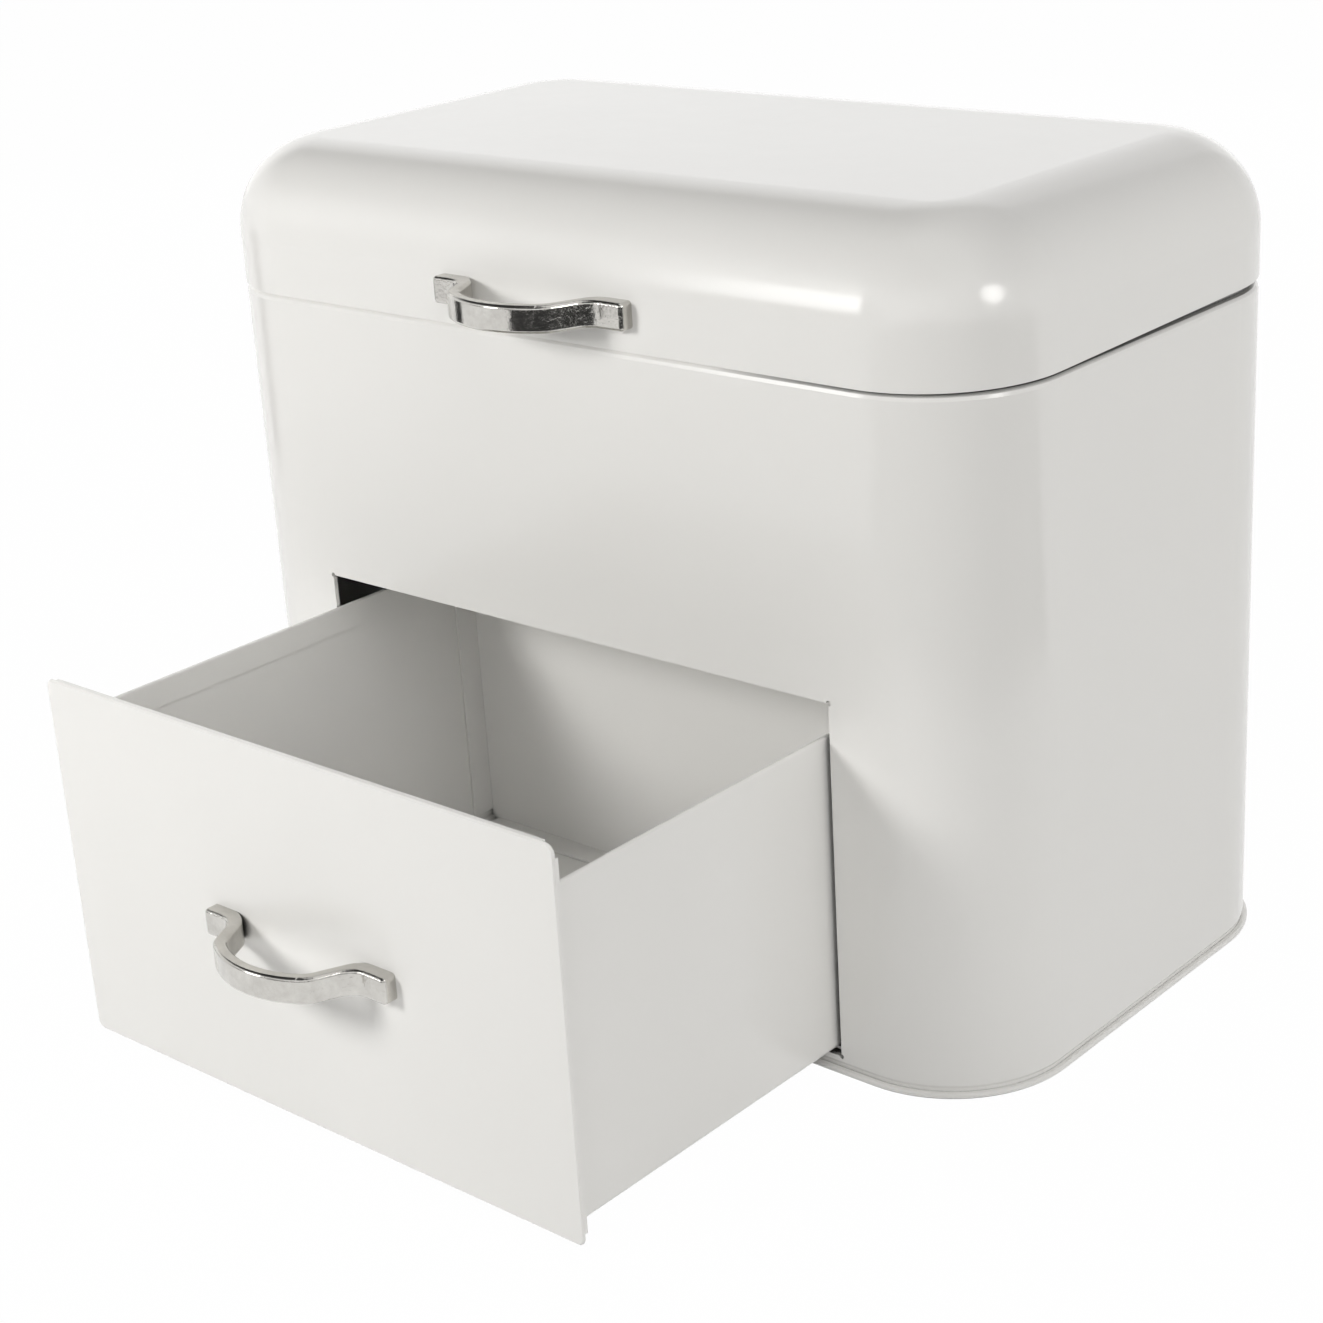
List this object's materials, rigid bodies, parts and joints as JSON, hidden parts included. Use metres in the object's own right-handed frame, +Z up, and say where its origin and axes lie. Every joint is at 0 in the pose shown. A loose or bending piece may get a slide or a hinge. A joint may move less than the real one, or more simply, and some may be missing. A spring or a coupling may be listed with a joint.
{
  "type": "bread box with drawer",
  "caption": "Round-cornered sheet-steel bread box with a rear-hinged lid over a bread compartment and a pull-out drawer below, each with a cast bow handle.",
  "frame": {"origin": "on the standing plane, below the centre of the body's plan", "axes": "+Z up, -Y towards the front where the drawer opens, +X to the right seen from the front"},
  "size_m": [0.343, 0.3508, 0.283],
  "materials": {
    "enamel": "gloss cream-white powder coat",
    "chrome": "polished, cast",
    "steel": "bright zinc-plated"
  },
  "bodies": {
    "cabinet": {"body_shell": "enamel", "base_panel": "enamel", "divider_shelf": "enamel", "drawer_guide_left": "steel", "drawer_guide_right": "steel", "drawer_kicker_left": "steel", "drawer_kicker_right": "steel", "hinge_left_body_leaf": "steel", "hinge_right_body_leaf": "steel", "hinge_left_pin": "steel", "hinge_right_pin": "steel"},
    "lid": {"lid_shell": "enamel", "hinge_left_lid_leaf": "steel", "hinge_right_lid_leaf": "steel", "lid_handle": "chrome", "lid_handle_screws": "steel"},
    "drawer": {"drawer_front": "enamel", "drawer_box": "enamel", "drawer_back": "enamel", "drawer_handle": "chrome", "drawer_handle_screws": "steel"}
  },
  "joints": [
    {"name": "drawer_slide", "type": "slide", "parent": "cabinet", "child": "drawer", "axis": [0, -1, 0], "range_m": [-0.1246, 0.038]},
    {"name": "lid_hinge", "type": "hinge", "parent": "cabinet", "child": "lid", "pos_m": [0, 0.09975, 0.23565], "axis": [-1, 0, 0], "range_deg": [0, 100]}
  ]
}
